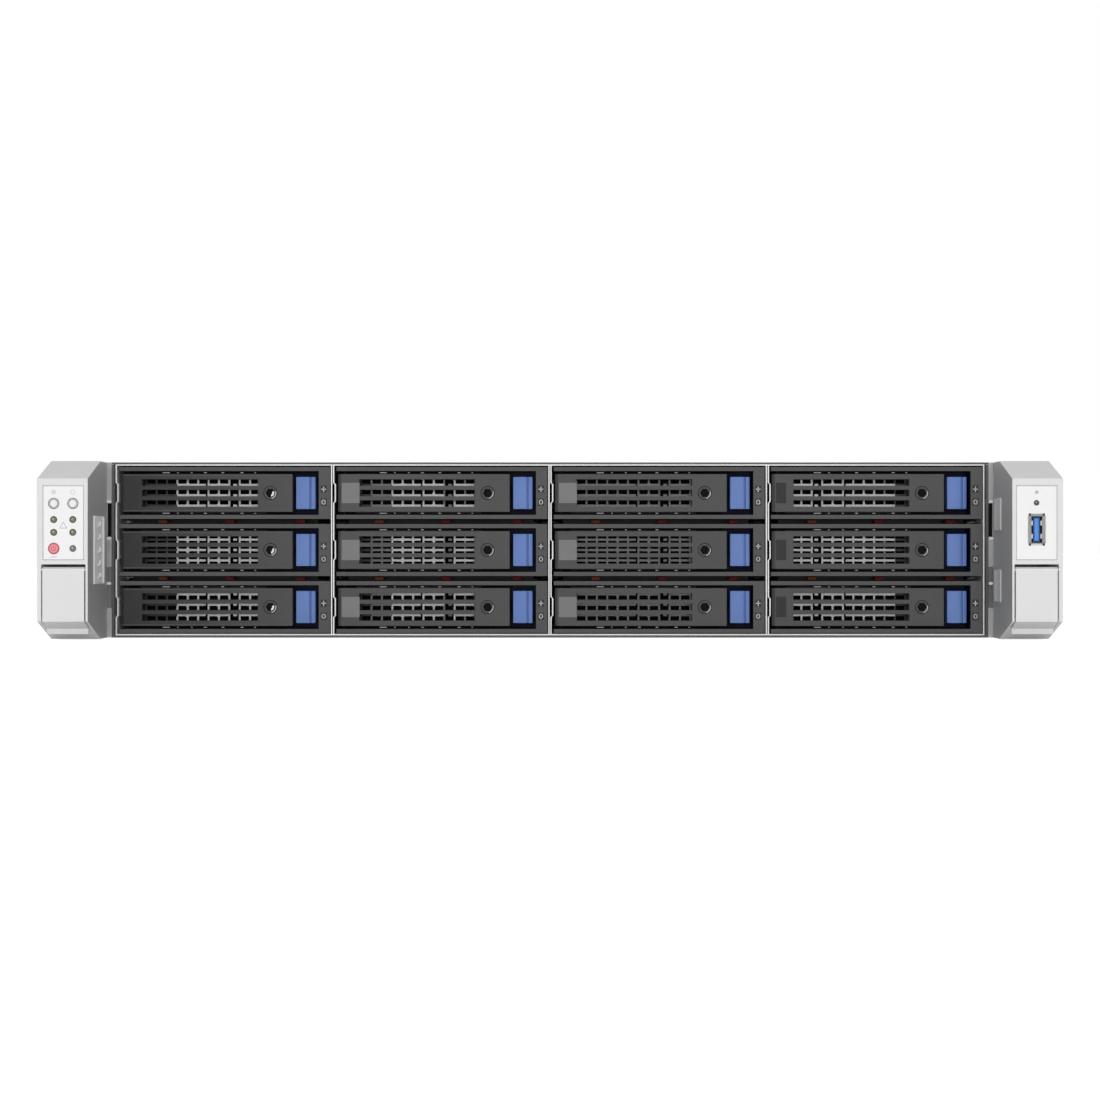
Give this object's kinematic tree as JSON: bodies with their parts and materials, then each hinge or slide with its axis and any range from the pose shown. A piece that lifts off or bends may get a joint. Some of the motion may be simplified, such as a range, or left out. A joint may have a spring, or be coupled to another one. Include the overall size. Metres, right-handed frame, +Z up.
{
  "type": "2u rack server",
  "caption": "Rack-mount server with hot-swap drive carriers, hinged levers and release buttons, ears with flaps over the rack screws, sliding rear cover, fans and pull-out supplies.",
  "frame": {"origin": "bottom centre of the whole server's box", "axes": "+X to the right seen from the front, +Y to the rear, +Z up; the front faces -Y"},
  "size_m": [0.4826, 0.748, 0.086],
  "materials": {
    "case_steel": "galvanised, satin",
    "cage_steel": "bare zinc-coated sheet",
    "cover_steel": "galvanised, satin",
    "ear_plastic": "silver grey, satin",
    "panel_plastic": "white, satin",
    "bracket_steel": "bare sheet",
    "screw_steel": "nickel plated",
    "carrier_black": "black bezel on a cast drive",
    "lever_grey": "dark grey, satin",
    "release_blue": "light blue",
    "key_white": "white",
    "key_red": "red",
    "board_green": "solder mask",
    "fan_black": "black",
    "sink_aluminium": "extruded",
    "supply_steel": "zinc-coated sheet"
  },
  "bodies": {
    "chassis": {"chassis_base": "case_steel", "drive_cage": "cage_steel", "front_cover": "cover_steel", "left_ear": "ear_plastic", "right_ear": "ear_plastic", "ear_brackets": "bracket_steel", "rack_screws": "screw_steel", "ear_panels": "panel_plastic", "backplane": "board_green", "fan_frames": "fan_black", "mainboard": "board_green", "heat_sinks": "sink_aluminium", "riser_cages": "cage_steel"},
    "carrier_1": {"carrier_1": "carrier_black"},
    "lever_1": {"lever_1": "lever_grey"},
    "release_button_1": {"release_button_1": "release_blue"},
    "carrier_2": {"carrier_2": "carrier_black"},
    "lever_2": {"lever_2": "lever_grey"},
    "release_button_2": {"release_button_2": "release_blue"},
    "carrier_3": {"carrier_3": "carrier_black"},
    "lever_3": {"lever_3": "lever_grey"},
    "release_button_3": {"release_button_3": "release_blue"},
    "carrier_4": {"carrier_4": "carrier_black"},
    "lever_4": {"lever_4": "lever_grey"},
    "release_button_4": {"release_button_4": "release_blue"},
    "carrier_5": {"carrier_5": "carrier_black"},
    "lever_5": {"lever_5": "lever_grey"},
    "release_button_5": {"release_button_5": "release_blue"},
    "carrier_6": {"carrier_6": "carrier_black"},
    "lever_6": {"lever_6": "lever_grey"},
    "release_button_6": {"release_button_6": "release_blue"},
    "carrier_7": {"carrier_7": "carrier_black"},
    "lever_7": {"lever_7": "lever_grey"},
    "release_button_7": {"release_button_7": "release_blue"},
    "carrier_8": {"carrier_8": "carrier_black"},
    "lever_8": {"lever_8": "lever_grey"},
    "release_button_8": {"release_button_8": "release_blue"},
    "carrier_9": {"carrier_9": "carrier_black"},
    "lever_9": {"lever_9": "lever_grey"},
    "release_button_9": {"release_button_9": "release_blue"},
    "carrier_10": {"carrier_10": "carrier_black"},
    "lever_10": {"lever_10": "lever_grey"},
    "release_button_10": {"release_button_10": "release_blue"},
    "carrier_11": {"carrier_11": "carrier_black"},
    "lever_11": {"lever_11": "lever_grey"},
    "release_button_11": {"release_button_11": "release_blue"},
    "carrier_12": {"carrier_12": "carrier_black"},
    "lever_12": {"lever_12": "lever_grey"},
    "release_button_12": {"release_button_12": "release_blue"},
    "left_round_button": {"left_round_button": "key_white"},
    "right_round_button": {"right_round_button": "key_white"},
    "power_button": {"power_button": "key_red"},
    "left_flap": {"left_flap": "ear_plastic"},
    "right_flap": {"right_flap": "ear_plastic"},
    "rear_cover": {"rear_cover": "cover_steel"},
    "fan_rotor_1": {"fan_rotor_1": "fan_black"},
    "fan_rotor_2": {"fan_rotor_2": "fan_black"},
    "fan_rotor_3": {"fan_rotor_3": "fan_black"},
    "power_supply_1": {"power_supply_1": "supply_steel"},
    "power_supply_2": {"power_supply_2": "supply_steel"}
  },
  "joints": [
    {"name": "carrier_1_slide", "type": "slide", "parent": "chassis", "child": "carrier_1", "axis": [0, -1, 0], "range_m": [0, 0.15]},
    {"name": "lever_1_hinge", "type": "hinge", "parent": "carrier_1", "child": "lever_1", "pos_m": [-0.20775, -0.3321, 0.015], "axis": [0, 0, -1], "range_deg": [0, 65]},
    {"name": "release_button_1_press", "type": "slide", "parent": "carrier_1", "child": "release_button_1", "axis": [0, 1, 0], "range_m": [0, 0.002], "stiffness_N_per_m": 500},
    {"name": "carrier_2_slide", "type": "slide", "parent": "chassis", "child": "carrier_2", "axis": [0, -1, 0], "range_m": [0, 0.15]},
    {"name": "lever_2_hinge", "type": "hinge", "parent": "carrier_2", "child": "lever_2", "pos_m": [-0.10115, -0.3321, 0.015], "axis": [0, 0, -1], "range_deg": [0, 65]},
    {"name": "release_button_2_press", "type": "slide", "parent": "carrier_2", "child": "release_button_2", "axis": [0, 1, 0], "range_m": [0, 0.002], "stiffness_N_per_m": 500},
    {"name": "carrier_3_slide", "type": "slide", "parent": "chassis", "child": "carrier_3", "axis": [0, -1, 0], "range_m": [0, 0.15]},
    {"name": "lever_3_hinge", "type": "hinge", "parent": "carrier_3", "child": "lever_3", "pos_m": [0.00545, -0.3321, 0.015], "axis": [0, 0, -1], "range_deg": [0, 65]},
    {"name": "release_button_3_press", "type": "slide", "parent": "carrier_3", "child": "release_button_3", "axis": [0, 1, 0], "range_m": [0, 0.002], "stiffness_N_per_m": 500},
    {"name": "carrier_4_slide", "type": "slide", "parent": "chassis", "child": "carrier_4", "axis": [0, -1, 0], "range_m": [0, 0.15]},
    {"name": "lever_4_hinge", "type": "hinge", "parent": "carrier_4", "child": "lever_4", "pos_m": [0.11205, -0.3321, 0.015], "axis": [0, 0, -1], "range_deg": [0, 65]},
    {"name": "release_button_4_press", "type": "slide", "parent": "carrier_4", "child": "release_button_4", "axis": [0, 1, 0], "range_m": [0, 0.002], "stiffness_N_per_m": 500},
    {"name": "carrier_5_slide", "type": "slide", "parent": "chassis", "child": "carrier_5", "axis": [0, -1, 0], "range_m": [0, 0.15]},
    {"name": "lever_5_hinge", "type": "hinge", "parent": "carrier_5", "child": "lever_5", "pos_m": [-0.20775, -0.3321, 0.043], "axis": [0, 0, -1], "range_deg": [0, 65]},
    {"name": "release_button_5_press", "type": "slide", "parent": "carrier_5", "child": "release_button_5", "axis": [0, 1, 0], "range_m": [0, 0.002], "stiffness_N_per_m": 500},
    {"name": "carrier_6_slide", "type": "slide", "parent": "chassis", "child": "carrier_6", "axis": [0, -1, 0], "range_m": [0, 0.15]},
    {"name": "lever_6_hinge", "type": "hinge", "parent": "carrier_6", "child": "lever_6", "pos_m": [-0.10115, -0.3321, 0.043], "axis": [0, 0, -1], "range_deg": [0, 65]},
    {"name": "release_button_6_press", "type": "slide", "parent": "carrier_6", "child": "release_button_6", "axis": [0, 1, 0], "range_m": [0, 0.002], "stiffness_N_per_m": 500},
    {"name": "carrier_7_slide", "type": "slide", "parent": "chassis", "child": "carrier_7", "axis": [0, -1, 0], "range_m": [0, 0.15]},
    {"name": "lever_7_hinge", "type": "hinge", "parent": "carrier_7", "child": "lever_7", "pos_m": [0.00545, -0.3321, 0.043], "axis": [0, 0, -1], "range_deg": [0, 65]},
    {"name": "release_button_7_press", "type": "slide", "parent": "carrier_7", "child": "release_button_7", "axis": [0, 1, 0], "range_m": [0, 0.002], "stiffness_N_per_m": 500},
    {"name": "carrier_8_slide", "type": "slide", "parent": "chassis", "child": "carrier_8", "axis": [0, -1, 0], "range_m": [0, 0.15]},
    {"name": "lever_8_hinge", "type": "hinge", "parent": "carrier_8", "child": "lever_8", "pos_m": [0.11205, -0.3321, 0.043], "axis": [0, 0, -1], "range_deg": [0, 65]},
    {"name": "release_button_8_press", "type": "slide", "parent": "carrier_8", "child": "release_button_8", "axis": [0, 1, 0], "range_m": [0, 0.002], "stiffness_N_per_m": 500},
    {"name": "carrier_9_slide", "type": "slide", "parent": "chassis", "child": "carrier_9", "axis": [0, -1, 0], "range_m": [0, 0.15]},
    {"name": "lever_9_hinge", "type": "hinge", "parent": "carrier_9", "child": "lever_9", "pos_m": [-0.20775, -0.3321, 0.071], "axis": [0, 0, -1], "range_deg": [0, 65]},
    {"name": "release_button_9_press", "type": "slide", "parent": "carrier_9", "child": "release_button_9", "axis": [0, 1, 0], "range_m": [0, 0.002], "stiffness_N_per_m": 500},
    {"name": "carrier_10_slide", "type": "slide", "parent": "chassis", "child": "carrier_10", "axis": [0, -1, 0], "range_m": [0, 0.15]},
    {"name": "lever_10_hinge", "type": "hinge", "parent": "carrier_10", "child": "lever_10", "pos_m": [-0.10115, -0.3321, 0.071], "axis": [0, 0, -1], "range_deg": [0, 65]},
    {"name": "release_button_10_press", "type": "slide", "parent": "carrier_10", "child": "release_button_10", "axis": [0, 1, 0], "range_m": [0, 0.002], "stiffness_N_per_m": 500},
    {"name": "carrier_11_slide", "type": "slide", "parent": "chassis", "child": "carrier_11", "axis": [0, -1, 0], "range_m": [0, 0.15]},
    {"name": "lever_11_hinge", "type": "hinge", "parent": "carrier_11", "child": "lever_11", "pos_m": [0.00545, -0.3321, 0.071], "axis": [0, 0, -1], "range_deg": [0, 65]},
    {"name": "release_button_11_press", "type": "slide", "parent": "carrier_11", "child": "release_button_11", "axis": [0, 1, 0], "range_m": [0, 0.002], "stiffness_N_per_m": 500},
    {"name": "carrier_12_slide", "type": "slide", "parent": "chassis", "child": "carrier_12", "axis": [0, -1, 0], "range_m": [0, 0.15]},
    {"name": "lever_12_hinge", "type": "hinge", "parent": "carrier_12", "child": "lever_12", "pos_m": [0.11205, -0.3321, 0.071], "axis": [0, 0, -1], "range_deg": [0, 65]},
    {"name": "release_button_12_press", "type": "slide", "parent": "carrier_12", "child": "release_button_12", "axis": [0, 1, 0], "range_m": [0, 0.002], "stiffness_N_per_m": 500},
    {"name": "left_round_button_press", "type": "slide", "parent": "chassis", "child": "left_round_button", "axis": [0, 1, 0], "range_m": [0, 0.0008], "stiffness_N_per_m": 600},
    {"name": "right_round_button_press", "type": "slide", "parent": "chassis", "child": "right_round_button", "axis": [0, 1, 0], "range_m": [0, 0.0008], "stiffness_N_per_m": 600},
    {"name": "power_button_press", "type": "slide", "parent": "chassis", "child": "power_button", "axis": [0, 1, 0], "range_m": [0, 0.0008], "stiffness_N_per_m": 600},
    {"name": "left_flap_hinge", "type": "hinge", "parent": "chassis", "child": "left_flap", "pos_m": [-0.2289, -0.3727, 0.0337], "axis": [-1, 0, 0], "range_deg": [0, 80]},
    {"name": "right_flap_hinge", "type": "hinge", "parent": "chassis", "child": "right_flap", "pos_m": [0.2289, -0.3727, 0.0337], "axis": [-1, 0, 0], "range_deg": [0, 80]},
    {"name": "rear_cover_slide", "type": "slide", "parent": "chassis", "child": "rear_cover", "axis": [0, 1, 0], "range_m": [0, 0.014]},
    {"name": "fan_rotor_1_spin", "type": "hinge", "parent": "chassis", "child": "fan_rotor_1", "pos_m": [-0.134, -0.1043, 0.0412], "axis": [0, 1, 0], "continuous": true},
    {"name": "fan_rotor_2_spin", "type": "hinge", "parent": "chassis", "child": "fan_rotor_2", "pos_m": [0, -0.1043, 0.0412], "axis": [0, 1, 0], "continuous": true},
    {"name": "fan_rotor_3_spin", "type": "hinge", "parent": "chassis", "child": "fan_rotor_3", "pos_m": [0.134, -0.1043, 0.0412], "axis": [0, 1, 0], "continuous": true},
    {"name": "power_supply_1_slide", "type": "slide", "parent": "chassis", "child": "power_supply_1", "axis": [0, 1, 0], "range_m": [0, 0.17]},
    {"name": "power_supply_2_slide", "type": "slide", "parent": "chassis", "child": "power_supply_2", "axis": [0, 1, 0], "range_m": [0, 0.17]}
  ]
}
